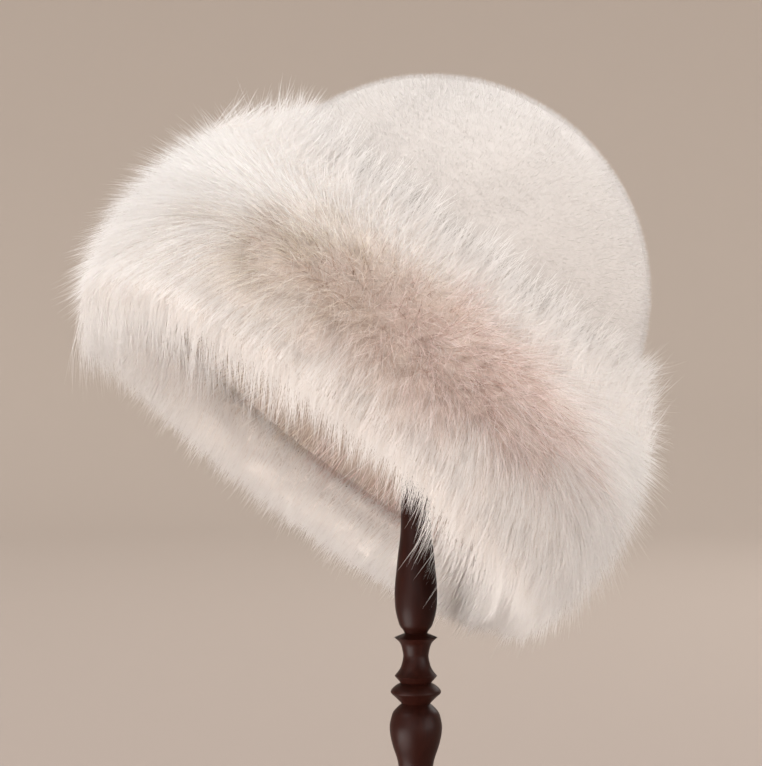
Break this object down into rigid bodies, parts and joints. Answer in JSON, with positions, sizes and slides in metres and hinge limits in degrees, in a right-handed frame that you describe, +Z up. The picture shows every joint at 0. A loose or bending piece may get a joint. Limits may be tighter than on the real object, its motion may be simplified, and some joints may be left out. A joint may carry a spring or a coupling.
{
  "type": "fur hat on a turned wooden stand",
  "caption": "Round plush-crowned hat with a deep long-haired fur cuff, set tilted on a slender turned wooden hat stand with a round foot.",
  "frame": {"origin": "centre of the stand's underside, on the post's axis", "axes": "+Z up along the post; -Y is the front that the picture shows; +X is the side that the crown leans to"},
  "size_m": [0.2713, 0.2958, 0.4232],
  "materials": {
    "crown_plush": "matte short plush pile",
    "cuff_fur": "soft long hair",
    "brim_pelt": "matte suede",
    "lining_cloth": "matte woven cloth",
    "stand_wood": "satin dark stain"
  },
  "bodies": {
    "root": {"crown": "crown_plush", "brim": "brim_pelt", "fur_cuff": "cuff_fur", "lining": "lining_cloth", "stand_head": "stand_wood", "stand_post": "stand_wood", "stand_base": "stand_wood"}
  },
  "joints": []
}
